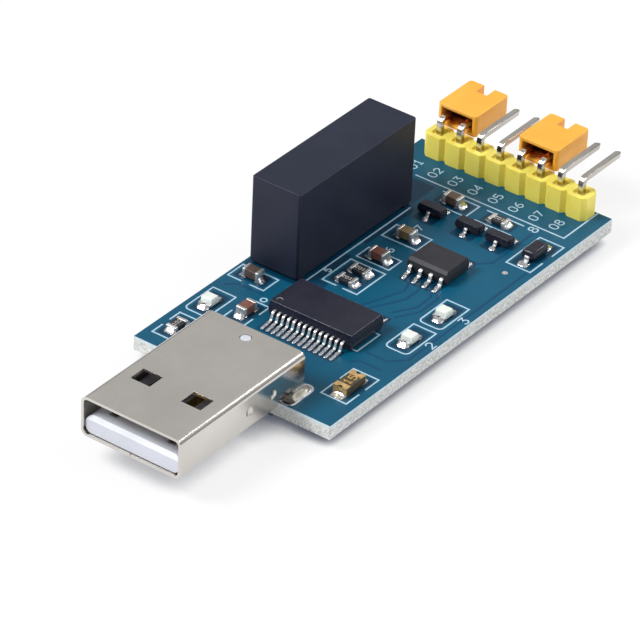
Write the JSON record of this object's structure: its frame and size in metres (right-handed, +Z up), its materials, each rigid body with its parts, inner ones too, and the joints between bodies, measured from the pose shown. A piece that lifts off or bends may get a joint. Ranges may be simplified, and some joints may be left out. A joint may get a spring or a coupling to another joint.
{
  "type": "usb to serial adapter module",
  "caption": "Bare circuit board with a USB plug at one end, an isolated power converter, surface-mounted chips and a right-angle pin header with jumper caps at the other.",
  "frame": {"origin": "under the middle of the module, level with the tips of the trimmed leads that it rests on", "axes": "+X along the board from the USB plug to the pin header, +Y across it towards the converter's side, +Z up out of the populated face"},
  "size_m": [0.0698, 0.024, 0.0131],
  "materials": {
    "board": "satin blue-green solder mask over pale laminate",
    "plug_steel": "satin nickel plating",
    "plug_plastic": "semi-matte white",
    "gold_contact": "smooth gold plating",
    "converter_case": "satin moulded",
    "converter_potting": "smooth resin",
    "tinned_lead": "tin plating",
    "chip_body": "fine-grained moulded",
    "lamp_base": "matte white",
    "lamp_lens": "milky translucent resin",
    "end_cap": "tin plating",
    "capacitor_red": "smooth fired",
    "capacitor_dark": "smooth fired",
    "capacitor_olive": "smooth fired",
    "capacitor_brown": "smooth fired",
    "resistor_body": "satin coat",
    "fuse_body": "satin",
    "fuse_end": "gold plating",
    "header_plastic": "translucent yellow",
    "header_pin": "bright tin plating",
    "jumper_plastic": "satin moulded orange",
    "spring_brass": "bare spring sheet",
    "solder": "bright solder"
  },
  "bodies": {
    "root": {"circuit_board": "board", "usb_shell": "plug_steel", "usb_insert": "plug_plastic", "usb_contact_1": "gold_contact", "usb_contact_2": "gold_contact", "usb_contact_3": "gold_contact", "usb_contact_4": "gold_contact", "converter_case": "converter_case", "converter_potting": "converter_potting", "converter_pins": "tinned_lead", "bridge_chip_body": "chip_body", "bridge_chip_leads": "tinned_lead", "isolator_chip_body": "chip_body", "isolator_chip_leads": "tinned_lead", "power_lamp_base": "lamp_base", "power_lamp_ends": "end_cap", "power_lamp_lens": "lamp_lens", "transmit_lamp_base": "lamp_base", "transmit_lamp_ends": "end_cap", "transmit_lamp_lens": "lamp_lens", "receive_lamp_base": "lamp_base", "receive_lamp_ends": "end_cap", "receive_lamp_lens": "lamp_lens", "capacitor_1_body": "capacitor_red", "capacitor_1_ends": "end_cap", "capacitor_2_body": "capacitor_dark", "capacitor_2_ends": "end_cap", "capacitor_3_body": "capacitor_red", "capacitor_3_ends": "end_cap", "capacitor_4_body": "capacitor_olive", "capacitor_4_ends": "end_cap", "capacitor_5_body": "capacitor_brown", "capacitor_5_ends": "end_cap", "resistor_1_body": "resistor_body", "resistor_1_ends": "end_cap", "resistor_2_body": "resistor_body", "resistor_2_ends": "end_cap", "resistor_3_body": "resistor_body", "resistor_3_ends": "end_cap", "resistor_4_body": "resistor_body", "resistor_4_ends": "end_cap", "transistor_1_body": "chip_body", "transistor_1_leads": "tinned_lead", "transistor_2_body": "chip_body", "transistor_2_leads": "tinned_lead", "transistor_3_body": "chip_body", "transistor_3_leads": "tinned_lead", "diode_body": "chip_body", "diode_leads": "tinned_lead", "fuse_body": "fuse_body", "fuse_ends": "fuse_end", "header_strip": "header_plastic", "header_pins": "header_pin", "jumper_cap_1": "jumper_plastic", "jumper_clip_1": "spring_brass", "jumper_cap_2": "jumper_plastic", "jumper_clip_2": "spring_brass", "surface_solder": "solder", "through_solder": "solder"}
  },
  "joints": []
}
